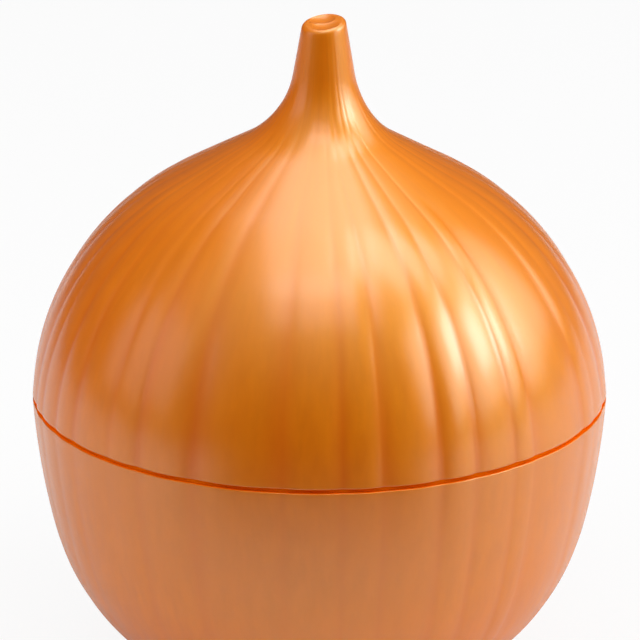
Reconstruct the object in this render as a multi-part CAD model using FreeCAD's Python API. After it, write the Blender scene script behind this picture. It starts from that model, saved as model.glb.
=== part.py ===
import FreeCAD, Part
import math
import os

# Onion keeper: a fluted bowl, and a fluted domed lid that is drawn up into a hollow neck.
# Sizes are in millimetres and degrees. The origin is on the table under the middle of the foot,
# +Z is up and the front faces -Y. An azimuth is 0 at the front and grows towards +X.

# Overall form, measured on the crests of the lobes
SEAM_RADIUS = 54.0
BASE_HEIGHT = 52.0
LID_HEIGHT = 71.0

# Bowl: a nearly upright side that turns under to the foot
BASE_RIM_LEAN = 3.4
SIDE_RADIUS = 144.0
SIDE_DEPTH = 24.5
FOOT_RADIUS = 31.3
FOOT_RING_WIDTH = 3.0
FOOT_RECESS = 1.4

# Lid: dome, straight shoulder and swept neck, which is pulled a little to one side
LID_RIM_LEAN = 4.4
SHOULDER_ANGLE = 61.4
NECK_LENGTH = 18.4
NECK_SWEEP_RADIUS = 18.3
NECK_TAPER = 9.8
NECK_SHIFT = 0.8
SHIFT_DROP = 9.6
SHIFT_LENGTH = 16.0

# Tip: a slanted end with a rounded edge and the two hollows of a twisted stalk
TIP_RADIUS = 4.0
TIP_EDGE_RADIUS = 0.7
TIP_LEAN_FRONT = 9.0
TIP_LEAN_LEFT = 7.0
TIP_HOLLOW_RADIUS = 2.4
TIP_HOLLOW_DEPTH = 0.45
TIP_HOLLOW_OFFSET = 1.5
TIP_HOLLOW_AZIMUTH = 25.0
TIP_WALL = 4.0

# Walls, and the joint between the halves
WALL = 2.0
LEDGE_WIDTH = 2.7
COLLAR_WALL = 1.5
COLLAR_HEIGHT = 5.0
COLLAR_BEVEL = 0.6
COLLAR_ROOT_DEPTH = 5.0
COLLAR_ROOT_TAPER = 3.0
COLLAR_CLEARANCE = 0.15
SOCKET_HEADROOM = 0.5
SEAM_GAP = 0.8
SEAM_GAP_DEPTH = 1.1
EDGE_BEVEL = 0.3

# Steps between the rings that each skin is lofted through
BOWL_STEP_COUNT = 7
LID_STEP_COUNT = 14
CORE_STEP_COUNT = 6

# Creases between the lobes: azimuth, and share of the flute depth, which is reached at the lid's widest ring
FLUTE_DEPTH = 0.44
CREASES = (
    (-78.0, 0.70),
    (-72.0, 0.50),
    (-64.0, 0.60),
    (-56.5, 0.65),
    (-45.0, 0.45),
    (-37.5, 0.75),
    (-25.0, 0.90),
    (-7.0, 0.70),
    (4.5, 0.75),
    (12.3, 0.85),
    (24.0, 1.00),
    (31.5, 0.95),
    (41.0, 0.80),
    (46.3, 0.75),
    (64.0, 0.65),
    (70.0, 0.30),
    (78.0, 0.70),
    (88.0, 0.70),
    (97.0, 0.75),
    (109.0, 0.90),
    (116.0, 0.65),
    (127.0, 0.90),
    (135.0, 0.65),
    (146.0, 0.90),
    (152.0, 0.55),
    (166.0, 0.90),
    (177.0, 0.75),
    (186.0, 0.65),
    (197.0, 0.90),
    (205.0, 0.65),
    (217.0, 0.90),
    (224.0, 0.65),
    (235.0, 0.90),
    (243.0, 0.75),
    (252.0, 0.75),
    (262.0, 0.75),
    (272.0, 0.70),
)
BOWL_FLUTE_SHARE = 0.5
FLUTE_FADE = 0.35

# The last fluted ring is round to within this, and joins the round end of the neck there
JOIN_TOLERANCE = 0.001

UP = FreeCAD.Vector(0, 0, 1)
COLLAR_RADIUS = SEAM_RADIUS - LEDGE_WIDTH
NECK_ROOT_HEIGHT = LID_HEIGHT - NECK_LENGTH
SHIFT_START = NECK_ROOT_HEIGHT - SHIFT_DROP


# Outlines in the plane of radius and height, with heights counted from the seam

def direction(angle):
    """Unit vector, as radius and height, at an angle above the horizontal."""
    return math.cos(math.radians(angle)), math.sin(math.radians(angle))


def moved(point, angle, distance):
    along = direction(angle)
    return point[0] + along[0] * distance, point[1] + along[1] * distance


def crossing(point, angle, other, other_angle):
    """Point where the lines through two points, at two angles, cross."""
    along = direction(angle)
    across = direction(other_angle)
    gap = (other[0] - point[0], other[1] - point[1])
    reach = (gap[0] * across[1] - gap[1] * across[0]) / (along[0] * across[1] - along[1] * across[0])
    return moved(point, angle, reach)


class Bend:
    """Arc of an outline between two angles of its outward normal; a hollow bend has a negative radius."""

    def __init__(self, start_point, radius, start, end):
        self.centre = moved(start_point, start, -radius)
        self.radius = radius
        self.start = start
        self.end = end

    def point(self, angle, inset=0.0):
        return moved(self.centre, angle, self.radius - inset)

    def at(self, share, inset=0.0):
        """Point at a share of the way along the arc."""
        return self.point(self.start + (self.end - self.start) * share, inset)

    def length(self):
        return abs(math.radians(self.end - self.start) * self.radius)

    def angle_at(self, height, inset):
        """Angle of the normal where the inset arc reaches a height."""
        return math.degrees(math.asin((height - self.centre[1]) / (self.radius - inset)))


class Straight:
    """Straight stretch of an outline from the end of one bend to the start of the next."""

    def __init__(self, before, after):
        self.before = before
        self.after = after

    def at(self, share, inset=0.0):
        start = self.before.at(1, inset)
        end = self.after.at(0, inset)
        return tuple(a + (b - a) * share for a, b in zip(start, end))

    def length(self):
        return math.dist(self.at(0), self.at(1))


def stations(pieces, count, inset=0.0):
    """Points in even steps along joined pieces of an outline."""
    total = sum(piece.length() for piece in pieces)
    line = []
    for step in range(count):
        reach = total * step / count
        piece = pieces[0]
        for following in pieces[1:]:
            if reach < piece.length():
                break
            reach -= piece.length()
            piece = following
        line.append(piece.at(reach / piece.length(), inset))
    return line + [pieces[-1].at(1, inset)]


def side_bend():
    rim = (SEAM_RADIUS, -SEAM_GAP / 2 - EDGE_BEVEL)
    centre = moved(rim, -BASE_RIM_LEAN, -SIDE_RADIUS)
    end = -math.degrees(math.asin((SIDE_DEPTH + centre[1]) / SIDE_RADIUS))
    return Bend(rim, SIDE_RADIUS, -BASE_RIM_LEAN, end)


def turn_bend(side):
    """Arc that goes on from the side and ends at the foot."""
    start_point = side.point(side.end)
    inward = direction(side.end)
    chord = (start_point[0] - FOOT_RADIUS, start_point[1] + BASE_HEIGHT)
    depth = chord[0] * inward[0] + chord[1] * inward[1]
    radius = (chord[0] ** 2 + chord[1] ** 2) / (2 * depth)
    bend = Bend(start_point, radius, side.end, side.end)
    bend.end = bend.angle_at(-BASE_HEIGHT, 0.0)
    return bend


def lid_bends():
    """Dome, straight shoulder and neck sweep, each tangent to the next."""
    rim = (SEAM_RADIUS, SEAM_GAP / 2 + EDGE_BEVEL)
    neck_root = (TIP_RADIUS + NECK_LENGTH * math.tan(math.radians(NECK_TAPER)), NECK_ROOT_HEIGHT)
    eave = crossing(rim, LID_RIM_LEAN + 90, neck_root, SHOULDER_ANGLE + 90)
    dome_tangent = math.dist(rim, eave)
    dome_radius = dome_tangent / math.tan(math.radians(SHOULDER_ANGLE - LID_RIM_LEAN) / 2)
    dome = Bend(rim, dome_radius, LID_RIM_LEAN, SHOULDER_ANGLE)
    sweep_turn = math.tan(math.radians(SHOULDER_ANGLE - NECK_TAPER) / 2)
    room = math.dist(eave, neck_root) - dome_tangent
    sweep_radius = min(NECK_SWEEP_RADIUS, room / sweep_turn)
    sweep_start = moved(neck_root, SHOULDER_ANGLE + 90, -sweep_radius * sweep_turn)
    sweep = Bend(sweep_start, -sweep_radius, SHOULDER_ANGLE, NECK_TAPER)
    return dome, Straight(dome, sweep), sweep


# Rings round the onion

def ring_centre(height):
    """Middle of the ring at a height above the seam: the neck is pulled towards +X in a smooth curve."""
    share = min(max((height - SHIFT_START) / SHIFT_LENGTH, 0.0), 1.0)
    shift = NECK_SHIFT * share * share * (3 - 2 * share)
    return FreeCAD.Vector(shift, 0, BASE_HEIGHT + height)


def on_ring(radius, azimuth, height):
    turn = math.radians(azimuth)
    return ring_centre(height) + FreeCAD.Vector(math.sin(turn), -math.cos(turn), 0) * radius


def lobe(radius, height, crease, next_crease, depth):
    """Convex edge from one crease over the crest to the next crease."""
    start = on_ring(radius - crease[1] * depth, crease[0], height)
    end = on_ring(radius - next_crease[1] * depth, next_crease[0], height)
    crest = on_ring(radius, (crease[0] + next_crease[0]) / 2, height)
    edge = Part.BezierCurve()
    edge.setPoles([start, crest * 2 - (start + end) * 0.5, end])
    return edge.toShape()


def fluted_ring(radius, height, share):
    """Ring of lobes, whose creases get shallower with the ring and have a share of their full depth."""
    depth = FLUTE_DEPTH * share * radius / SEAM_RADIUS
    first = CREASES[0]
    following = CREASES[1:] + ((first[0] + 360, first[1]),)
    return Part.Wire([lobe(radius, height, crease, after, depth)
                      for crease, after in zip(CREASES, following)])


def neck_share(radius, smooth_radius):
    """Share of the flutes' depth near the neck, where they fade out at the smooth radius."""
    return min(max((radius - smooth_radius) / (FLUTE_FADE * smooth_radius), 0.0), 1.0)


def round_ring(radius, height):
    return Part.Wire(Part.Circle(ring_centre(height), UP, radius).toShape())


def smooth_loft(rings):
    return Part.makeLoft(rings, True, False, False, 3)


def edge_bevel(bevel_height, way, share):
    """Bevelled lip of a half: way is +1 where the lip looks up and -1 where it looks down."""
    foot = fluted_ring(SEAM_RADIUS, bevel_height, share)
    top = fluted_ring(SEAM_RADIUS - EDGE_BEVEL, bevel_height + way * EDGE_BEVEL, share)
    return Part.makeLoft([foot, top], True, True)


def cylinder(radius, low, high):
    """Cylinder about the axis between two heights above the seam."""
    return Part.makeCylinder(radius, high - low, FreeCAD.Vector(0, 0, BASE_HEIGHT + low))


def section_point(point):
    return FreeCAD.Vector(point[0], 0, BASE_HEIGHT + point[1])


def straight(points):
    corners = [section_point(point) for point in points]
    return [Part.LineSegment(a, b).toShape() for a, b in zip(corners, corners[1:])]


def inset_arc(bend, start, end, inset):
    angles = (start, (start + end) / 2, end)
    return Part.Arc(*[section_point(bend.point(angle, inset)) for angle in angles]).toShape()


def turned(edges):
    """Solid of revolution of a closed section."""
    return Part.Face(Part.Wire(edges)).revolve(FreeCAD.Vector(0, 0, 0), UP, 360)


# Bowl

def bowl_hollow(side, turn):
    """Inside of the bowl: flat floor, inner wall, and the thicker root of the collar."""
    floor = -BASE_HEIGHT + FOOT_RECESS + WALL
    floor_angle = turn.angle_at(floor, WALL)
    root = -COLLAR_ROOT_DEPTH - COLLAR_ROOT_TAPER
    root_angle = side.angle_at(root, WALL)
    bore = COLLAR_RADIUS - COLLAR_WALL
    floor_edge = turn.point(floor_angle, WALL)
    root_edge = side.point(root_angle, WALL)
    mouth = [root_edge, (bore, -COLLAR_ROOT_DEPTH), (bore, COLLAR_HEIGHT), (0, COLLAR_HEIGHT), (0, floor),
             floor_edge]
    walls = [inset_arc(turn, floor_angle, turn.start, WALL), inset_arc(side, side.end, root_angle, WALL)]
    return turned(walls + straight(mouth))


def collar():
    """Ring that stands up inside the lid, with a bevelled top edge."""
    ring = cylinder(COLLAR_RADIUS, -COLLAR_ROOT_DEPTH, COLLAR_HEIGHT)
    top = BASE_HEIGHT + COLLAR_HEIGHT
    rim = [edge for edge in ring.Edges if edge.BoundBox.ZMin > top - COLLAR_BEVEL]
    return ring.makeChamfer(COLLAR_BEVEL, rim)


def foot_recess():
    return cylinder(FOOT_RADIUS - FOOT_RING_WIDTH, -BASE_HEIGHT, -BASE_HEIGHT + FOOT_RECESS)


def make_base():
    side = side_bend()
    turn = turn_bend(side)
    rings = [fluted_ring(*point, BOWL_FLUTE_SHARE) for point in stations([side, turn], BOWL_STEP_COUNT)]
    skin = smooth_loft(rings)
    lip = edge_bevel(side.point(side.start)[1], 1, BOWL_FLUTE_SHARE)
    solid = skin.fuse([lip, collar()])
    return solid.cut([bowl_hollow(side, turn), foot_recess()])


# Lid

def dome_hollow(dome):
    """Inside of the lid up to the shoulder, with a straight socket over the collar."""
    socket = COLLAR_RADIUS + COLLAR_CLEARANCE
    socket_top = COLLAR_HEIGHT + SOCKET_HEADROOM
    start = dome.angle_at(socket_top, WALL)
    inner_start = dome.point(start, WALL)
    inner_end = dome.point(dome.end, WALL)
    rest = [inner_end, (0, inner_end[1]), (0, -SEAM_GAP / 2), (socket, -SEAM_GAP / 2), (socket, socket_top),
            inner_start]
    return turned([inset_arc(dome, start, dome.end, WALL)] + straight(rest))


def neck_core(shoulder, sweep):
    """Hollow of the shoulder and neck, which narrows to a round end below the tip."""
    line = stations([shoulder, sweep], CORE_STEP_COUNT, WALL)
    last = line[-1]
    top = LID_HEIGHT - TIP_WALL
    line.append((last[0] - (top - last[1]) * math.tan(math.radians(NECK_TAPER)), top))
    return smooth_loft([round_ring(*point) for point in line])


def tip_plane():
    """Slanted end of the neck: its middle and its outward normal."""
    left = math.tan(math.radians(TIP_LEAN_LEFT))
    front = math.tan(math.radians(TIP_LEAN_FRONT))
    return ring_centre(LID_HEIGHT), FreeCAD.Vector(-left, -front, 1).normalize()


def tip_hollow(azimuth):
    """Ball that scoops one shallow hollow into the slanted end."""
    middle, normal = tip_plane()
    turn = math.radians(azimuth)
    aside = FreeCAD.Vector(math.sin(turn), -math.cos(turn), 0) * TIP_HOLLOW_OFFSET
    ball_radius = (TIP_HOLLOW_RADIUS ** 2 + TIP_HOLLOW_DEPTH ** 2) / (2 * TIP_HOLLOW_DEPTH)
    aside = aside - normal * aside.dot(normal)
    return Part.makeSphere(ball_radius, middle + aside + normal * (ball_radius - TIP_HOLLOW_DEPTH))


def neck_end(sweep):
    """Straight tapered end of the neck, cut off aslant, rounded and scooped."""
    root = sweep.point(sweep.end)
    middle, normal = tip_plane()
    overshoot = TIP_RADIUS
    length = LID_HEIGHT + overshoot - root[1]
    top_radius = root[0] - length * math.tan(math.radians(NECK_TAPER))
    cone = Part.makeCone(root[0], top_radius, length, ring_centre(root[1]))
    cutter = Part.makeCylinder(4 * TIP_RADIUS, 4 * TIP_RADIUS, middle, normal)
    stalk = cone.cut(cutter)
    near = TIP_EDGE_RADIUS / 2
    rim = [edge for edge in stalk.Edges if abs((edge.CenterOfMass - middle).dot(normal)) < near]
    stalk = stalk.makeFillet(TIP_EDGE_RADIUS, rim)
    return stalk.cut([tip_hollow(TIP_HOLLOW_AZIMUTH), tip_hollow(TIP_HOLLOW_AZIMUTH + 180)])


def seat_land():
    """Inner part of the lid's edge, which sits on the ledge of the bowl and closes the seam gap."""
    return cylinder(SEAM_RADIUS - SEAM_GAP_DEPTH, -SEAM_GAP / 2, SEAM_GAP / 2 + EDGE_BEVEL)


def make_lid():
    dome, shoulder, sweep = lid_bends()
    line = stations([dome, shoulder, sweep], LID_STEP_COUNT)
    smooth_radius = line[-1][0]
    skin = smooth_loft([fluted_ring(*point, neck_share(point[0], smooth_radius)) for point in line])
    lip = edge_bevel(dome.point(dome.start)[1], -1, 1.0)
    solid = skin.fuse([lip, seat_land(), neck_end(sweep)], JOIN_TOLERANCE)
    return solid.cut([dome_hollow(dome), neck_core(shoulder, sweep)])


def save(name, solid):
    print(name, "volume %.0f cubic mm" % solid.Volume, "valid", solid.isValid(), "solids", len(solid.Solids))
    solid.exportStep("parts/" + name + ".step")


os.makedirs("parts", exist_ok=True)
save("base", make_base())
save("lid", make_lid())
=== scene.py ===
import math

import bpy
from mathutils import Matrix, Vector


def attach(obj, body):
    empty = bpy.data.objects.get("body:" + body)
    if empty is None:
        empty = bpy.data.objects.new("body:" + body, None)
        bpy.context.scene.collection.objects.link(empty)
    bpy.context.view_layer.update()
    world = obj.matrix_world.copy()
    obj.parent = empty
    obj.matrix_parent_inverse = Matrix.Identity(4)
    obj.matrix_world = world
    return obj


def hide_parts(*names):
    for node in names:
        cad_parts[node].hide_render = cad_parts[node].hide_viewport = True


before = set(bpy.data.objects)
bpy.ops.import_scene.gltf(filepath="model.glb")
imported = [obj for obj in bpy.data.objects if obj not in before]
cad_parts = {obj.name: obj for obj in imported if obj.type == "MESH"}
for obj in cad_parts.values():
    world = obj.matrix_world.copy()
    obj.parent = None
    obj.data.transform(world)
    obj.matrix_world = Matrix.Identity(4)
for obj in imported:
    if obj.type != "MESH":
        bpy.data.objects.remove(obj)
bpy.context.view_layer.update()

# Onion keeper: the fluted bowl and the fluted lid, each turned from its own section by Geometry Nodes.
# Sizes are in metres and degrees. An azimuth is 0 at the front (-Y) and grows towards +X.
# Heights in the sections are counted from the seam.

MM = 0.001

# Overall form, measured on the crests of the lobes
SEAM_RADIUS = 54.0 * MM
BASE_HEIGHT = 52.0 * MM
LID_HEIGHT = 71.0 * MM

# Bowl
BASE_RIM_LEAN = 3.4
SIDE_RADIUS = 144.0 * MM
SIDE_DEPTH = 24.5 * MM
FOOT_RADIUS = 31.3 * MM
FOOT_RING_WIDTH = 3.0 * MM
FOOT_RECESS = 1.4 * MM
FOOT_ROUND = 0.4 * MM

# Lid
LID_RIM_LEAN = 4.4
SHOULDER_ANGLE = 61.4
NECK_LENGTH = 18.4 * MM
NECK_SWEEP_RADIUS = 18.3 * MM
NECK_TAPER = 9.8
NECK_SHIFT = 0.8 * MM
SHIFT_DROP = 9.6 * MM
SHIFT_LENGTH = 16.0 * MM

# Tip of the neck
TIP_RADIUS = 4.0 * MM
TIP_EDGE_RADIUS = 0.85 * MM
TIP_LEAN_FRONT = 9.0
TIP_LEAN_LEFT = 7.0
TIP_HOLLOW_RADIUS = 2.4 * MM
TIP_HOLLOW_DEPTH = 0.45 * MM
TIP_HOLLOW_OFFSET = 1.5 * MM
TIP_HOLLOW_AZIMUTH = 25.0
TIP_TWIST = 35.0
TIP_WALL = 4.0 * MM
SLANT_LENGTH = 11.0 * MM

# Walls, and the joint between the halves
WALL = 2.0 * MM
LEDGE_WIDTH = 2.7 * MM
COLLAR_WALL = 1.5 * MM
COLLAR_HEIGHT = 5.0 * MM
COLLAR_ROUND = 0.6 * MM
COLLAR_ROOT_DEPTH = 5.0 * MM
COLLAR_ROOT_TAPER = 3.0 * MM
COLLAR_CLEARANCE = 0.15 * MM
SOCKET_HEADROOM = 0.5 * MM
SEAM_GAP = 0.8 * MM
SEAM_GAP_DEPTH = 0.6 * MM
EDGE_ROUND = 0.3 * MM
INNER_ROUND = 0.4 * MM

# Creases between the lobes: azimuth, and share of the flute depth, which is reached at the lid's widest ring
FLUTE_DEPTH = 0.44 * MM
CREASES = (
    (-78.0, 0.70), (-72.0, 0.50), (-64.0, 0.60), (-56.5, 0.65), (-45.0, 0.45), (-37.5, 0.75),
    (-25.0, 0.90), (-7.0, 0.70), (4.5, 0.75), (12.3, 0.85), (24.0, 1.00), (31.5, 0.95),
    (41.0, 0.80), (46.3, 0.75), (64.0, 0.65), (70.0, 0.30), (78.0, 0.70), (88.0, 0.70),
    (97.0, 0.75), (109.0, 0.90), (116.0, 0.65), (127.0, 0.90), (135.0, 0.65), (146.0, 0.90),
    (152.0, 0.55), (166.0, 0.90), (177.0, 0.75), (186.0, 0.65), (197.0, 0.90), (205.0, 0.65),
    (217.0, 0.90), (224.0, 0.65), (235.0, 0.90), (243.0, 0.75), (252.0, 0.75), (262.0, 0.75),
    (272.0, 0.70),
)
BOWL_FLUTE_SHARE = 0.5
NECK_FLUTE_SHARE = 0.45
TIP_FLUTE_SHARE = 0.15

# The crease that starts below the neck, the height of its upper end, and the length over which it runs out
SHORT_CREASE = 46.3
SHORT_CREASE_TOP = 43.5 * MM
CREASE_RUNOUT = 3.0 * MM
STEPS_PER_LOBE = 10

# Steps of the outlines, pieces of each small round, and the angle from which an edge stays sharp
SECTION_STEP = 0.8 * MM
TIP_STEP = 0.25 * MM
INNER_STEP = 2.0 * MM
ROUND_PIECES = 4
SHARP_ANGLE = 38.0

# Points nearer than this become one, rows this near the lid's top are its end face, and a face whose mark is
# above this lines the seam and gets the painted glow
MERGE_DISTANCE = 0.002 * MM
FACE_BAND = 0.01 * MM
SEAM_MARK = 0.99

COLLAR_RADIUS = SEAM_RADIUS - LEDGE_WIDTH
NECK_ROOT_HEIGHT = LID_HEIGHT - NECK_LENGTH
SHIFT_START = NECK_ROOT_HEIGHT - SHIFT_DROP

# The photograph's camera
CAMERA_DISTANCE = 0.750
CAMERA_ELEVATION = 19.26
CAMERA_LENS = 224.94
CAMERA_SENSOR = 36.0
CAMERA_NEAR = 0.01
CAMERA_FAR = 20.0
AIM_HEIGHT = 65.29 * MM
AIM_ASIDE = 0.1 * MM


# Outlines in the plane of radius and height

def moved(point, angle, distance):
    turn = math.radians(angle)
    return point[0] + math.cos(turn) * distance, point[1] + math.sin(turn) * distance


def crossing(point, angle, other, other_angle):
    """Point where the lines through two points, at two angles, cross."""
    along = moved((0, 0), angle, 1)
    across = moved((0, 0), other_angle, 1)
    gap = (other[0] - point[0], other[1] - point[1])
    reach = (gap[0] * across[1] - gap[1] * across[0]) / (along[0] * across[1] - along[1] * across[0])
    return moved(point, angle, reach)


class Bend:
    """Arc of an outline between two angles of its outward normal; a hollow bend has a negative radius."""

    def __init__(self, start_point, radius, start, end):
        self.centre = moved(start_point, start, -radius)
        self.radius = radius
        self.start = start
        self.end = end

    def point(self, angle, inset=0.0):
        return moved(self.centre, angle, self.radius - inset)

    def angle_at(self, height, inset):
        return math.degrees(math.asin((height - self.centre[1]) / (self.radius - inset)))

    def line(self, start, end, step, inset=0.0):
        """Points along the arc between two angles, about a step apart."""
        length = abs(math.radians(end - start) * (self.radius - inset))
        count = max(int(math.ceil(length / step)), 2)
        return [self.point(start + (end - start) * i / count, inset) for i in range(count + 1)]


def side_bend():
    rim = (SEAM_RADIUS, -SEAM_GAP / 2 - EDGE_ROUND)
    centre = moved(rim, -BASE_RIM_LEAN, -SIDE_RADIUS)
    end = -math.degrees(math.asin((SIDE_DEPTH + centre[1]) / SIDE_RADIUS))
    return Bend(rim, SIDE_RADIUS, -BASE_RIM_LEAN, end)


def turn_bend(side):
    """Arc that goes on from the side and ends at the foot."""
    start_point = side.point(side.end)
    inward = moved((0, 0), side.end, 1)
    chord = (start_point[0] - FOOT_RADIUS, start_point[1] + BASE_HEIGHT)
    depth = chord[0] * inward[0] + chord[1] * inward[1]
    bend = Bend(start_point, (chord[0] ** 2 + chord[1] ** 2) / (2 * depth), side.end, side.end)
    bend.end = bend.angle_at(-BASE_HEIGHT, 0.0)
    return bend


def lid_bends():
    """Dome and neck sweep, each tangent to the straight shoulder between them."""
    rim = (SEAM_RADIUS, SEAM_GAP / 2 + EDGE_ROUND)
    neck_root = (TIP_RADIUS + (LID_HEIGHT - NECK_ROOT_HEIGHT) * math.tan(math.radians(NECK_TAPER)),
                 NECK_ROOT_HEIGHT)
    eave = crossing(rim, LID_RIM_LEAN + 90, neck_root, SHOULDER_ANGLE + 90)
    half_turn = math.radians(SHOULDER_ANGLE - LID_RIM_LEAN) / 2
    dome = Bend(rim, math.dist(rim, eave) / math.tan(half_turn), LID_RIM_LEAN, SHOULDER_ANGLE)
    tangent = NECK_SWEEP_RADIUS * math.tan(math.radians(SHOULDER_ANGLE - NECK_TAPER) / 2)
    sweep = Bend(moved(neck_root, SHOULDER_ANGLE + 90, -tangent), -NECK_SWEEP_RADIUS, SHOULDER_ANGLE,
                 NECK_TAPER)
    return dome, sweep


def divided(points, step):
    """Straight runs between the points, divided to about a step."""
    line = [points[0]]
    for start, end in zip(points, points[1:]):
        count = max(int(math.ceil(math.dist(start, end) / step)), 1)
        line += [(start[0] + (end[0] - start[0]) * i / count, start[1] + (end[1] - start[1]) * i / count)
                 for i in range(1, count + 1)]
    return line


def rounded(before, corner, after, radius):
    """Points of the round that replaces a corner."""
    first = math.atan2(before[1] - corner[1], before[0] - corner[0])
    second = math.atan2(after[1] - corner[1], after[0] - corner[0])
    half = wrapped(second - first) / 2
    tangent = min(radius / math.tan(abs(half)), math.dist(before, corner) / 2, math.dist(after, corner) / 2)
    radius = tangent * math.tan(abs(half))
    centre = moved(corner, math.degrees(first + half), radius / math.sin(abs(half)))
    start = moved(corner, math.degrees(first), tangent)
    end = moved(corner, math.degrees(second), tangent)
    start_angle = math.atan2(start[1] - centre[1], start[0] - centre[0])
    sweep = wrapped(math.atan2(end[1] - centre[1], end[0] - centre[0]) - start_angle)
    return [moved(centre, math.degrees(start_angle + sweep * i / ROUND_PIECES), radius)
            for i in range(ROUND_PIECES + 1)]


def wrapped(angle):
    """The same angle in radians, between minus and plus half a turn."""
    return (angle + math.pi) % (2 * math.pi) - math.pi


def path(corners):
    """Polyline through corners given as (radius, height, round)."""
    points = [corners[0][:2]]
    for before, corner, after in zip(corners, corners[1:], corners[2:]):
        if corner[2]:
            points += rounded(before[:2], corner[:2], after[:2], corner[2])
        else:
            points.append(corner[:2])
    return points + [corners[-1][:2]]


def neck_shift(height):
    """How far the neck is pulled towards +X at a height above the seam."""
    share = min(max((height - SHIFT_START) / SHIFT_LENGTH, 0.0), 1.0)
    return NECK_SHIFT * share * share * (3 - 2 * share)


def lid_flute(point, neck_foot):
    """Share of the flutes' depth on the lid: shallower round the neck, and nearly gone at the tip."""
    share = 1.0
    if point[1] > SHIFT_START:
        up = min((point[1] - SHIFT_START) / (neck_foot[1] - SHIFT_START), 1.0)
        share += (NECK_FLUTE_SHARE - 1.0) * up * up
    if point[1] > neck_foot[1]:
        up = (point[1] - neck_foot[1]) / (LID_HEIGHT - neck_foot[1])
        share += (TIP_FLUTE_SHARE - NECK_FLUTE_SHARE) * up
    return share * point[0] / SEAM_RADIUS


def bowl_section():
    """Half section of the bowl from the middle of its floor, over the collar and down to the foot.

    Each row is a point with its share of the flutes, its shift towards +X, and 1 where it lines the seam.
    """
    side = side_bend()
    turn = turn_bend(side)
    floor = -BASE_HEIGHT + FOOT_RECESS + WALL
    floor_angle = turn.angle_at(floor, WALL)
    root_angle = side.angle_at(-COLLAR_ROOT_DEPTH - COLLAR_ROOT_TAPER, WALL)
    bore = COLLAR_RADIUS - COLLAR_WALL
    ledge = -SEAM_GAP / 2
    inside = divided([(0, floor), turn.point(floor_angle, WALL)], INNER_STEP)
    inside += turn.line(floor_angle, turn.start, INNER_STEP, WALL)[1:]
    inside += side.line(side.end, root_angle, INNER_STEP, WALL)[1:]
    rim = path([side.point(root_angle, WALL) + (0,), (bore, -COLLAR_ROOT_DEPTH, INNER_ROUND),
                (bore, COLLAR_HEIGHT, COLLAR_ROUND), (COLLAR_RADIUS, COLLAR_HEIGHT, COLLAR_ROUND),
                (COLLAR_RADIUS, ledge, 0), (SEAM_RADIUS - SEAM_GAP_DEPTH - EDGE_ROUND, ledge, 0),
                (SEAM_RADIUS, ledge, EDGE_ROUND), side.point(side.start) + (0,)])
    outside = side.line(side.start, side.end, SECTION_STEP)
    outside += turn.line(turn.start, turn.end, SECTION_STEP)[1:]
    ring = FOOT_RADIUS - FOOT_RING_WIDTH
    under = path([outside[-2] + (0,), (FOOT_RADIUS, -BASE_HEIGHT, FOOT_ROUND),
                  (ring, -BASE_HEIGHT, FOOT_ROUND), (ring, -BASE_HEIGHT + FOOT_RECESS, FOOT_ROUND),
                  (0, -BASE_HEIGHT + FOOT_RECESS, 0)])
    foot = ROUND_PIECES + 2
    lip = [point for point in rim[1:] if point[0] > COLLAR_RADIUS + WALL / 4]
    inner = inside + [point for point in rim[1:] if point not in lip]
    outer = lip + outside[:-2] + under[:foot]
    section = [(point, 0.0, 0.0, 0.0) for point in inner]
    section += [(point, BOWL_FLUTE_SHARE * point[0] / SEAM_RADIUS, 0.0, 1.0 if point in lip[:2] else 0.0)
                for point in outer]
    section += [(point, 0.0, 0.0, 0.0) for point in under[foot:]]
    return section


def lid_section():
    """Half section of the lid from the middle of the tip, down the outside and up the hollow.

    Its rows are like the bowl's.
    """
    dome, sweep = lid_bends()
    neck_foot = sweep.point(sweep.end)
    tip = path([(0, LID_HEIGHT, 0), (TIP_RADIUS, LID_HEIGHT, TIP_EDGE_RADIUS), neck_foot + (0,)])
    face = divided([tip[0], tip[1]], TIP_STEP)
    neck = divided([tip[-2], neck_foot], SECTION_STEP)
    flank = sweep.line(sweep.end, sweep.start, SECTION_STEP)
    shoulder = divided([flank[-1], dome.point(dome.end)], SECTION_STEP)
    skirt = dome.line(dome.end, dome.start, SECTION_STEP)
    outside = tip[2:-2] + neck + flank[1:] + shoulder[1:] + skirt[1:]
    socket = COLLAR_RADIUS + COLLAR_CLEARANCE
    socket_top = COLLAR_HEIGHT + SOCKET_HEADROOM
    land = SEAM_RADIUS - SEAM_GAP_DEPTH
    rim = path([outside[-1] + (0,), (SEAM_RADIUS, SEAM_GAP / 2, EDGE_ROUND), (land, SEAM_GAP / 2, 0),
                (land, -SEAM_GAP / 2, EDGE_ROUND / 2), (socket, -SEAM_GAP / 2, EDGE_ROUND / 2),
                (socket, socket_top, INNER_ROUND),
                dome.point(dome.angle_at(socket_top, WALL), WALL) + (0,)])
    lip = [point for point in rim[1:] if point[0] > land]
    inner_rim = [point for point in rim[1:] if point not in lip]
    core_top = LID_HEIGHT - TIP_WALL
    inner_foot = sweep.point(sweep.end, WALL)
    core_radius = inner_foot[0] - (core_top - inner_foot[1]) * math.tan(math.radians(NECK_TAPER))
    hollow = dome.line(dome.angle_at(socket_top, WALL), dome.end, INNER_STEP, WALL)[1:]
    hollow += sweep.line(sweep.start, sweep.end, INNER_STEP, WALL)
    hollow += path([inner_foot + (0,), (core_radius, core_top, INNER_ROUND), (0, core_top, 0)])[1:]
    section = [(point, 0.0, neck_shift(point[1]), 0.0) for point in face]
    section += [(point, lid_flute(point, neck_foot), neck_shift(point[1]), 0.0) for point in outside]
    section += [(point, point[0] / SEAM_RADIUS, 0.0, 1.0 if point == lip[-1] else 0.0) for point in lip]
    section += [(point, 0.0, neck_shift(point[1]), 1.0 if point in inner_rim[:2] else 0.0)
                for point in inner_rim + hollow]
    return section


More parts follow.
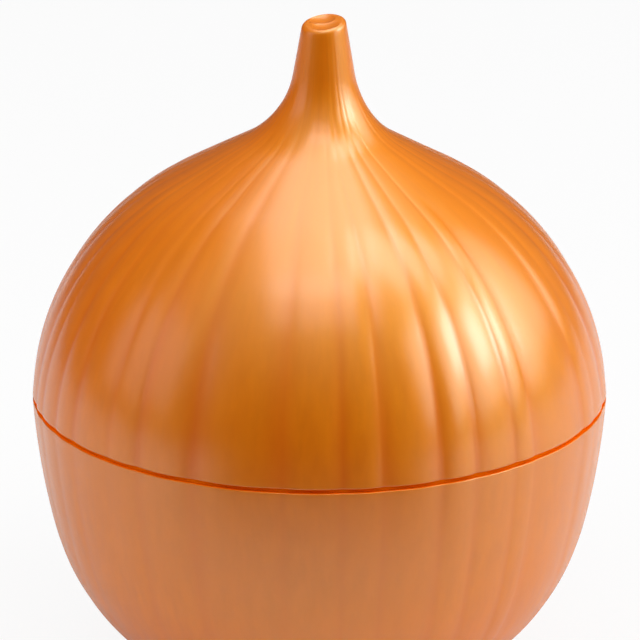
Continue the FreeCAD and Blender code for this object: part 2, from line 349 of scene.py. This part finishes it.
# Ring of stations round the onion, with the depth of the flutes at each

def flute_stations():
    """Azimuth, relief and upper end of each station: a lobe is a parabola that falls to its two creases."""
    first = CREASES[0]
    following = CREASES[1:] + ((first[0] + 360, first[1]),)
    stations = []
    for before, after in zip(CREASES, following):
        for step in range(STEPS_PER_LOBE):
            share = step / STEPS_PER_LOBE
            crease = before if share < 0.5 else after
            azimuth = before[0] + (after[0] - before[0]) * share
            stations.append((azimuth, FLUTE_DEPTH * crease[1] * (1 - 2 * share) ** 2, crease_top(crease)))
    stations.append((first[0] + 360, FLUTE_DEPTH * first[1], crease_top(first)))
    return stations


def crease_top(crease):
    """Height above the foot where a crease ends: one stops below the neck, the others go on past the tip."""
    top = SHORT_CREASE_TOP if crease[0] == SHORT_CREASE else 2 * LID_HEIGHT
    return BASE_HEIGHT + top


def point_mesh(name, points, values):
    """Object of loose points in order, with named numbers on them."""
    mesh = bpy.data.meshes.new(name)
    mesh.from_pydata(points, [], [])
    for key, numbers in values.items():
        mesh.attributes.new(key, "FLOAT", "POINT").data.foreach_set("value", numbers)
    piece = bpy.data.objects.new(name, mesh)
    bpy.context.scene.collection.objects.link(piece)
    return piece


def section_object(name, section):
    points, flute, shift, groove = zip(*section)
    places = [(point[0], 0, BASE_HEIGHT + point[1]) for point in points]
    return point_mesh(name, places, {"flute": flute, "shift": shift, "groove": groove})


def stations_object():
    azimuths, relief, top = zip(*flute_stations())
    headings = [(math.sin(math.radians(azimuth)), -math.cos(math.radians(azimuth)), 0)
                for azimuth in azimuths]
    return point_mesh("flute_stations", headings, {"relief": relief, "top": top})


# Node tree that turns a section round the stations

class Tree:
    """Small helper that adds and links the nodes of a tree."""

    def __init__(self, tree):
        self.tree = tree

    def node(self, kind, inputs=None, **settings):
        made = self.tree.nodes.new(kind)
        for key, value in settings.items():
            setattr(made, key, value)
        for key, value in (inputs or {}).items():
            self.feed(made.inputs[key], value)
        return made

    def feed(self, socket, value):
        if isinstance(value, bpy.types.NodeSocket):
            self.tree.links.new(value, socket)
        else:
            socket.default_value = value

    def math(self, operation, first, second=0.0):
        return self.node("ShaderNodeMath", {0: first, 1: second}, operation=operation).outputs[0]

    def ranged(self, value, low, high, start, end):
        """Value from one range to another, held inside it."""
        return self.node("ShaderNodeMapRange", {"Value": value, "From Min": low, "From Max": high,
                                                "To Min": start, "To Max": end}).outputs[0]

    def mixed(self, share, first, second):
        mix = self.node("ShaderNodeMix", data_type="RGBA")
        for socket, value in ((mix.inputs[0], share), (mix.inputs[6], first), (mix.inputs[7], second)):
            self.feed(socket, value)
        return mix.outputs[2]

    def scaled(self, vector, scale):
        return self.node("ShaderNodeVectorMath", {0: vector, "Scale": scale}, operation="SCALE").outputs[0]

    def noise(self, place, seed, scale, detail, roughness=0.5):
        return self.node("ShaderNodeTexNoise", {"Vector": place, "W": seed, "Scale": scale, "Detail": detail,
                                                "Roughness": roughness}, noise_dimensions="4D").outputs[0]

    def stored(self, geometry, name, value):
        """Geometry with a named number kept on each point."""
        kept = self.node("GeometryNodeStoreNamedAttribute", {"Geometry": geometry, "Name": name},
                         data_type="FLOAT", domain="POINT")
        self.feed(kept.inputs["Value"], value)
        return kept.outputs[0]

    def painted(self, geometry, material, chosen=True):
        return self.node("GeometryNodeSetMaterial", {"Geometry": geometry, "Selection": chosen,
                                                     "Material": material}).outputs[0]


def lathe_tree():
    """Geometry Nodes tree: a grid of section points by stations, bent into the fluted shell."""
    group = bpy.data.node_groups.new("fluted_lathe", "GeometryNodeTree")
    face = group.interface
    face.new_socket("Section", in_out="INPUT", socket_type="NodeSocketGeometry")
    face.new_socket("Stations", in_out="INPUT", socket_type="NodeSocketObject")
    for name in ("Crease Runout", "Tip Height", "Slant Length", "Slant Front", "Slant Left", "Hollow Ball",
                 "Hollow Depth", "Hollow Offset", "Hollow Turn", "Hollow Twist", "Tip Radius", "Flute Depth"):
        face.new_socket(name, in_out="INPUT", socket_type="NodeSocketFloat")
    face.new_socket("Plastic", in_out="INPUT", socket_type="NodeSocketMaterial")
    face.new_socket("Seam Plastic", in_out="INPUT", socket_type="NodeSocketMaterial")
    face.new_socket("Shell", in_out="OUTPUT", socket_type="NodeSocketGeometry")
    tree = Tree(group)
    given = tree.node("NodeGroupInput").outputs
    stations = tree.node("GeometryNodeObjectInfo", {"Object": given["Stations"]}).outputs["Geometry"]
    rows = tree.node("GeometryNodeAttributeDomainSize", {"Geometry": given["Section"]}).outputs["Point Count"]
    columns = tree.node("GeometryNodeAttributeDomainSize", {"Geometry": stations}).outputs["Point Count"]
    grid = tree.node("GeometryNodeMeshGrid", {"Vertices X": rows, "Vertices Y": columns}).outputs["Mesh"]
    index = tree.node("GeometryNodeInputIndex").outputs[0]
    row = tree.math("FLOOR", tree.math("DIVIDE", index, columns))
    column = tree.math("SUBTRACT", index, tree.math("MULTIPLY", row, columns))

    def sample(geometry, kind, value, at):
        picked = tree.node("GeometryNodeSampleIndex", {"Geometry": geometry, "Index": at}, data_type=kind)
        tree.feed(picked.inputs["Value"], value)
        return picked.outputs["Value"]

    def named(name):
        return tree.node("GeometryNodeInputNamedAttribute", {"Name": name}, data_type="FLOAT").outputs[0]

    position = tree.node("GeometryNodeInputPosition").outputs[0]
    outline = tree.node("ShaderNodeSeparateXYZ", {0: sample(given["Section"], "FLOAT_VECTOR", position, row)})
    radius, level = outline.outputs[0], outline.outputs[2]
    heading = sample(stations, "FLOAT_VECTOR", position, column)
    relief = sample(stations, "FLOAT", named("relief"), column)
    above = tree.math("SUBTRACT", level, sample(stations, "FLOAT", named("top"), column))
    runout = tree.math("DIVIDE", above, given["Crease Runout"])
    fade = tree.node("ShaderNodeMapRange", {"Value": runout, "From Min": 0.0, "From Max": -1.0},
                     interpolation_type="SMOOTHSTEP").outputs[0]
    flute = tree.math("MULTIPLY", sample(given["Section"], "FLOAT", named("flute"), row), fade)
    depth = tree.math("MULTIPLY", relief, flute)
    sunk = tree.math("SUBTRACT", radius, depth)
    ring = tree.scaled(heading, tree.math("MAXIMUM", sunk, 0.0))
    flat = tree.node("ShaderNodeSeparateXYZ", {0: ring})
    slant_foot = tree.math("SUBTRACT", given["Tip Height"], given["Slant Length"])
    lift = tree.ranged(level, slant_foot, given["Tip Height"], 0.0, 1.0)
    slope = tree.math("ADD", tree.math("MULTIPLY", flat.outputs[0], given["Slant Left"]),
                      tree.math("MULTIPLY", flat.outputs[1], given["Slant Front"]))
    slanted = tree.math("ADD", level, tree.math("MULTIPLY", slope, lift))
    height = tree.math("SUBTRACT", slanted, tip_scoop(tree, given, ring, radius, level))
    shift = sample(given["Section"], "FLOAT", named("shift"), row)
    place = tree.node("ShaderNodeCombineXYZ", {0: tree.math("ADD", flat.outputs[0], shift),
                                               1: flat.outputs[1], 2: height}).outputs[0]
    bent = tree.node("GeometryNodeSetPosition", {"Geometry": grid, "Position": place}).outputs[0]
    marked = tree.stored(bent, "groove", sample(given["Section"], "FLOAT", named("groove"), row))
    # Each point keeps its crease's depth as a mark, which the material turns into painted shade along the
    # creases
    creased = tree.stored(marked, "crease", tree.math("DIVIDE", depth, given["Flute Depth"]))
    closed = tree.node("GeometryNodeMergeByDistance", {"Geometry": creased,
                                                       "Distance": MERGE_DISTANCE}).outputs[0]
    solid = tree.node("GeometryNodeRealizeInstances", {"Geometry": closed}).outputs[0]
    in_seam = tree.math("GREATER_THAN", named("groove"), SEAM_MARK)
    # Faces that line the seam get the painted glow, a brighter orange standing in for light caught in the
    # groove
    lined = tree.painted(tree.painted(solid, given["Plastic"]), given["Seam Plastic"], in_seam)
    tree.node("NodeGroupOutput", {"Shell": lined})
    return group


def tip_scoop(tree, given, ring, radius, level):
    """Depth of the two hollows in the tip's end face, which turn round each other like a wrung stalk."""
    inward = tree.math("SUBTRACT", 1.0, tree.math("DIVIDE", radius, given["Tip Radius"]))
    turn = tree.math("ADD", given["Hollow Turn"], tree.math("MULTIPLY", inward, given["Hollow Twist"]))
    turned = tree.node("ShaderNodeVectorRotate", {"Vector": ring, "Angle": turn}, rotation_type="Z_AXIS")
    side = tree.node("ShaderNodeSeparateXYZ", {0: turned.outputs[0]})
    along = tree.math("SUBTRACT", tree.math("ABSOLUTE", side.outputs[0]), given["Hollow Offset"])
    away = tree.math("ADD", tree.math("MULTIPLY", along, along),
                     tree.math("MULTIPLY", side.outputs[1], side.outputs[1]))
    ball = given["Hollow Ball"]
    inside = tree.math("SUBTRACT", tree.math("MULTIPLY", ball, ball), away)
    cap = tree.math("SQRT", tree.math("MAXIMUM", inside, 0.0))
    depth = tree.math("SUBTRACT", cap, tree.math("SUBTRACT", ball, given["Hollow Depth"]))
    on_face = tree.math("GREATER_THAN", level, tree.math("SUBTRACT", given["Tip Height"], FACE_BAND))
    return tree.math("MULTIPLY", tree.math("MAXIMUM", depth, 0.0), on_face)


def socket_id(group, name):
    return next(item.identifier for item in group.interface.items_tree
                if item.item_type == "SOCKET" and item.in_out == "INPUT" and item.name == name)


def turned_shell(name, section, stations, group, sizes, plastic, seam):
    """Runs the lathe tree on a section and keeps the result as a plain mesh, which keeps its crease marks for
    the painted shade along the creases.
    """
    pattern = section_object(name + "_section", section)
    lathe = pattern.modifiers.new("lathe", "NODES")
    lathe.node_group = group
    lathe[socket_id(group, "Stations")] = stations
    lathe[socket_id(group, "Plastic")] = plastic
    lathe[socket_id(group, "Seam Plastic")] = seam
    for key, value in sizes.items():
        lathe[socket_id(group, key)] = value
    graph = bpy.context.evaluated_depsgraph_get()
    mesh = bpy.data.meshes.new_from_object(pattern.evaluated_get(graph), depsgraph=graph)
    mesh.name = name
    bpy.data.objects.remove(pattern)
    for key in ("flute", "shift", "groove"):
        if key in mesh.attributes:
            mesh.attributes.remove(mesh.attributes[key])
    mesh.shade_smooth()
    mesh.set_sharp_from_angle(angle=math.radians(SHARP_ANGLE))
    shell = bpy.data.objects.new(name, mesh)
    bpy.context.scene.collection.objects.link(shell)
    return shell


# Pearl plastic: the orange body, the gold pearl in it, the glossy skin, the fine relief, and painted shade
# along the creases
ORANGE = (0.87, 0.152, 0.001)
BASE_SEED = 1.0
LID_SEED = 5.0
PEARL_ROUGHNESS = 0.58
PEARL_SPREAD = 0.03
PEARL_IOR = 1.95
PEARL_TINT = (0.85, 1.0, 0.0)
FLAKE_SCALE = 5200.0
FLAKE_SPREAD = 0.02
SKIN_ROUGHNESS = 0.26
SKIN_IOR = 1.70
SKIN_SCALE = 900.0
SKIN_RELIEF = 0.0008 * MM

# Streaks of the melt: how many round the shell, how little they change with height, and their relief
FLOW_SCALE = 22.0
FLOW_CLIMB = 6.0
FLOW_RELIEF = 0.0015 * MM
CLOUD_SCALE = 38.0

# Range that a noise mostly stays in, and the narrower one that tints the plastic more strongly
NOISE_RANGE = (0.3, 0.7)
NOISE_MIDDLE = (0.35, 0.65)

# Shares of the orange's red and green in a deep streak, a pale streak, a cloud, and the painted shade in a
# crease
DEEP_STREAK = (0.95, 0.90)
PALE_STREAK = (1.03, 1.08)
CLOUD = (1.00, 0.93)
CLOUD_SHARE = 0.5
CREASE_SHADE = (0.92, 0.55)
# Crease mark from which the painted shade begins
CREASE_SHADE_START = 0.18

# Painted glow inside the seam: bare plastic with no skin, coloured a brighter, redder orange than the body in
# place of the light that bounces in the groove
SEAM_GLOW_DEEP = (0.98, 0.16, 0.0)
SEAM_GLOW_PALE = (1.0, 0.20, 0.0)
SEAM_GRAIN = 400.0
SEAM_ROUGHNESS = (0.6, 0.8)


def plain_material(name):
    """New material with the helper for its tree, its shader and the object's own coordinates."""
    material = bpy.data.materials.new(name)
    material.use_nodes = True
    tree = Tree(material.node_tree)
    place = tree.node("ShaderNodeTexCoord").outputs["Object"]
    return material, tree, material.node_tree.nodes["Principled BSDF"], place


def pearl_plastic(name, seed):
    """Moulded orange plastic with gold pearl in it, under its own glossy skin, with painted shade darkening
    the creases.
    """
    material, tree, shader, place = plain_material(name)
    flow = flow_lines(tree, place, seed)
    streak = tree.ranged(flow, *NOISE_MIDDLE, 0.0, 1.0)
    streaked = tree.mixed(streak, shaded(DEEP_STREAK), shaded(PALE_STREAK))
    cloud = tree.ranged(tree.noise(place, seed, CLOUD_SCALE, 2.0), *NOISE_MIDDLE, 0.0, CLOUD_SHARE)
    clouded = tree.mixed(cloud, streaked, shaded(CLOUD))
    # Painted shade: the orange turns darker and redder along the creases, most where the flutes sink furthest
    crease = tree.node("ShaderNodeAttribute", attribute_name="crease").outputs["Fac"]
    crease_shade = tree.ranged(crease, CREASE_SHADE_START, 1.0, 0.0, 1.0)
    tree.feed(shader.inputs["Base Color"], tree.mixed(crease_shade, clouded, shaded(CREASE_SHADE)))
    flakes = tree.node("ShaderNodeTexVoronoi", {"Vector": place, "Scale": FLAKE_SCALE}).outputs["Color"]
    glint = tree.node("ShaderNodeSeparateXYZ", {0: flakes}).outputs[0]
    rough = tree.ranged(flow, *NOISE_RANGE, PEARL_ROUGHNESS - PEARL_SPREAD, PEARL_ROUGHNESS + PEARL_SPREAD)
    flaked = tree.ranged(glint, 0.0, 1.0, -FLAKE_SPREAD, FLAKE_SPREAD)
    tree.feed(shader.inputs["Roughness"], tree.math("ADD", rough, flaked))
    skin = tree.noise(place, seed, SKIN_SCALE, 2.0)
    relief = tree.math("ADD", tree.math("MULTIPLY", flow, FLOW_RELIEF),
                       tree.math("MULTIPLY", skin, SKIN_RELIEF))
    bump = tree.node("ShaderNodeBump", {"Height": relief, "Distance": 1.0, "Strength": 1.0}).outputs[0]
    tree.feed(shader.inputs["Normal"], bump)
    tree.feed(shader.inputs["Coat Normal"], bump)
    shader.inputs["IOR"].default_value = PEARL_IOR
    shader.inputs["Specular Tint"].default_value = PEARL_TINT + (1,)
    shader.inputs["Coat Weight"].default_value = 1.0
    shader.inputs["Coat Roughness"].default_value = SKIN_ROUGHNESS
    shader.inputs["Coat IOR"].default_value = SKIN_IOR
    return material


def painted_seam_glow(name):
    """Bare plastic inside the seam, with no skin on it, given a painted glow: a brighter orange that stands
    in for light that gets into the groove.
    """
    material, tree, shader, place = plain_material(name)
    grain = tree.node("ShaderNodeTexNoise", {"Vector": place, "Scale": SEAM_GRAIN, "Detail": 2.0}).outputs[0]
    tree.feed(shader.inputs["Base Color"], tree.mixed(grain, SEAM_GLOW_DEEP + (1,), SEAM_GLOW_PALE + (1,)))
    tree.feed(shader.inputs["Roughness"], tree.ranged(grain, *NOISE_RANGE, *SEAM_ROUGHNESS))
    shader.inputs["Specular IOR Level"].default_value = 0.0
    return material


def flow_lines(tree, place, seed):
    """Fine streaks that run with the flutes from the tip to the foot, where the pearl followed the melt."""
    side = tree.node("ShaderNodeSeparateXYZ", {0: place})
    flat = tree.node("ShaderNodeCombineXYZ", {0: side.outputs[0], 1: side.outputs[1]}).outputs[0]
    heading = tree.node("ShaderNodeVectorMath", {0: flat}, operation="NORMALIZE").outputs[0]
    height = tree.math("MULTIPLY", side.outputs[2], FLOW_CLIMB)
    climb = tree.node("ShaderNodeCombineXYZ", {2: height}).outputs[0]
    around = tree.node("ShaderNodeVectorMath", {0: heading, 1: climb}, operation="ADD").outputs[0]
    return tree.noise(around, seed, FLOW_SCALE, 3.0, 0.55)


def shaded(share):
    """The orange with shares of its red and green."""
    return min(ORANGE[0] * share[0], 1.0), ORANGE[1] * share[1], ORANGE[2], 1


# White table: its half width, how much of it glows to the camera, how bright it is near the onion and far in
# front, between which distances that changes, and the cosines of the headings that bound the front
TABLE_REACH = 3.0
TABLE_ROUGHNESS = 0.9
TABLE_GLOW = 0.9
TABLE_WHITE = 0.85
TABLE_DIM = 0.03
NEAR_TABLE = (95 * MM, 180 * MM)
FRONT_SECTOR = (0.62, 0.88)


def white_floor():
    """White to the camera; what the plastic mirrors of it fades out a hand's width in front of the onion."""
    material, tree, shader, place = plain_material("white_table")
    glow = tree.node("ShaderNodeEmission", {"Color": (1, 1, 1, 1), "Strength": 1.0}).outputs[0]
    seen = tree.node("ShaderNodeLightPath").outputs["Is Camera Ray"]
    away = tree.node("ShaderNodeVectorMath", {0: place}, operation="LENGTH").outputs["Value"]
    depth = tree.node("ShaderNodeSeparateXYZ", {0: place}).outputs[1]
    ahead = tree.math("DIVIDE", tree.math("MULTIPLY", depth, -1.0), tree.math("MAXIMUM", away, MM))
    far = tree.ranged(away, *NEAR_TABLE, 0.0, 1.0)
    front = tree.ranged(ahead, *FRONT_SECTOR, 0.0, 1.0)
    lit = tree.ranged(tree.math("MULTIPLY", far, front), 0.0, 1.0, TABLE_WHITE, TABLE_DIM)
    white = tree.math("MAXIMUM", lit, tree.math("MULTIPLY", seen, TABLE_WHITE))
    tree.feed(shader.inputs["Base Color"], white)
    shader.inputs["Roughness"].default_value = TABLE_ROUGHNESS
    share = tree.math("MULTIPLY", seen, TABLE_GLOW)
    mix = tree.node("ShaderNodeMixShader", {0: share, 1: shader.outputs[0], 2: glow}).outputs[0]
    tree.feed(material.node_tree.nodes["Material Output"].inputs["Surface"], mix)
    mesh = bpy.data.meshes.new("table_top")
    corners = [(-TABLE_REACH, -TABLE_REACH, 0), (TABLE_REACH, -TABLE_REACH, 0),
               (TABLE_REACH, TABLE_REACH, 0), (-TABLE_REACH, TABLE_REACH, 0)]
    mesh.from_pydata(corners, [], [(0, 1, 2, 3)])
    floor = bpy.data.objects.new("table_top", mesh)
    mesh.materials.append(material)
    bpy.context.scene.collection.objects.link(floor)


# Lamps: name, azimuth, elevation, distance, width, height, watts. The fill lamps light the plastic and the
# table evenly, and the cards are seen only as soft reflections in the skin. The fill lamps hang behind the
# cards, because two lamps in one plane hide each other.
FILL_LAMPS = (
    ("top_fill", 180.0, 84.0, 1.2, 1.20, 1.20, 6.4),
    ("right_fill", 80.0, 35.0, 1.2, 0.96, 0.96, 10.0),
    ("left_fill", -74.0, 38.0, 1.2, 0.96, 0.96, 6.2),
    ("front_fill", 0.0, 52.0, 1.2, 0.96, 0.72, 2.6),
)
REFLECTION_CARDS = (
    ("overhead_card", 180.0, 84.0, 1.0, 0.60, 1.10, 4.9),
    ("front_top_card", 0.0, 64.0, 1.0, 0.55, 0.35, 1.2),
    ("canopy_card", 175.0, 80.0, 1.1, 1.15, 1.30, 2.4),
    ("right_top_card", 90.0, 66.0, 1.0, 0.40, 0.50, 2.4),
    ("right_card", 80.0, 29.0, 1.0, 0.34, 0.36, 3.1),
    ("right_screen", 76.0, 26.0, 1.1, 1.00, 0.77, 5.4),
    ("right_back_card", 110.0, 30.0, 1.0, 0.40, 0.70, 1.6),
    ("left_card", -78.0, 22.0, 1.0, 0.60, 0.55, 0.8),
)

# Brightness of the room in front of the onion and behind it, and between which headings it changes
ROOM_FRONT = 0.0
ROOM_BACK = 0.06
ROOM_CHANGE = (0.3, 0.9)


def softbox(name, azimuth, elevation, distance, width, height, watts):
    lamp = bpy.data.lights.new(name, "AREA")
    lamp.shape = "RECTANGLE"
    lamp.size = width
    lamp.size_y = height
    lamp.energy = watts
    turn = math.radians(azimuth)
    rise = math.radians(elevation)
    out = Vector((math.sin(turn) * math.cos(rise), -math.cos(turn) * math.cos(rise), math.sin(rise)))
    holder = bpy.data.objects.new(name, lamp)
    holder.location = Vector((0, 0, BASE_HEIGHT)) + out * distance
    holder.rotation_euler = out.to_track_quat("Z", "Y").to_euler()
    bpy.context.scene.collection.objects.link(holder)
    return holder


def studio():
    """Soft studio light in a room that is white to the camera and dim in the reflections."""
    for lamp in FILL_LAMPS:
        softbox(*lamp).visible_glossy = False
    for card in REFLECTION_CARDS:
        softbox(*card).visible_diffuse = False
    world = bpy.data.worlds.new("studio")
    bpy.context.scene.world = world
    world.use_nodes = True
    tree = Tree(world.node_tree)
    background = world.node_tree.nodes["Background"]
    facing = tree.node("ShaderNodeTexCoord").outputs["Generated"]
    behind = tree.node("ShaderNodeSeparateXYZ", {0: facing}).outputs[1]
    room = tree.ranged(behind, *ROOM_CHANGE, ROOM_FRONT, ROOM_BACK)
    seen = tree.node("ShaderNodeLightPath").outputs["Is Camera Ray"]
    tree.feed(background.inputs["Strength"], tree.math("MAXIMUM", room, seen))
    background.inputs["Color"].default_value = (1, 1, 1, 1)


def camera():
    lens = bpy.data.cameras.new("camera")
    lens.lens = CAMERA_LENS
    lens.sensor_width = CAMERA_SENSOR
    lens.clip_start = CAMERA_NEAR
    lens.clip_end = CAMERA_FAR
    holder = bpy.data.objects.new("camera", lens)
    rise = math.radians(CAMERA_ELEVATION)
    back = Vector((0, -math.cos(rise), math.sin(rise)))
    holder.location = Vector((AIM_ASIDE, 0, AIM_HEIGHT)) + back * CAMERA_DISTANCE
    holder.rotation_euler = (-back).to_track_quat("-Z", "Y").to_euler()
    bpy.context.scene.collection.objects.link(holder)
    bpy.context.scene.camera = holder


def keeper():
    stations = stations_object()
    group = lathe_tree()
    ball = (TIP_HOLLOW_RADIUS ** 2 + TIP_HOLLOW_DEPTH ** 2) / (2 * TIP_HOLLOW_DEPTH)
    sizes = {"Crease Runout": CREASE_RUNOUT, "Tip Height": BASE_HEIGHT + LID_HEIGHT,
             "Slant Length": SLANT_LENGTH, "Slant Front": math.tan(math.radians(TIP_LEAN_FRONT)),
             "Slant Left": math.tan(math.radians(TIP_LEAN_LEFT)), "Hollow Ball": ball,
             "Hollow Depth": TIP_HOLLOW_DEPTH, "Hollow Offset": TIP_HOLLOW_OFFSET,
             "Hollow Turn": math.radians(90.0 - TIP_HOLLOW_AZIMUTH), "Hollow Twist": math.radians(TIP_TWIST),
             "Tip Radius": TIP_RADIUS, "Flute Depth": FLUTE_DEPTH}
    # The seam's faces get a painted glow in place of the light caught in the groove
    seam = painted_seam_glow("painted_seam_glow")
    base_plastic = pearl_plastic("base_pearl_plastic", BASE_SEED)
    lid_plastic = pearl_plastic("lid_pearl_plastic", LID_SEED)
    bowl = turned_shell("bowl_shell", bowl_section(), stations, group, sizes, base_plastic, seam)
    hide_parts("base")
    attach(bowl, "base")
    lid = turned_shell("lid_shell", lid_section(), stations, group, sizes, lid_plastic, seam)
    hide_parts("lid")
    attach(lid, "lid")
    bpy.data.objects.remove(stations)


keeper()
white_floor()
studio()
camera()
bpy.context.scene.view_settings.view_transform = "Standard"
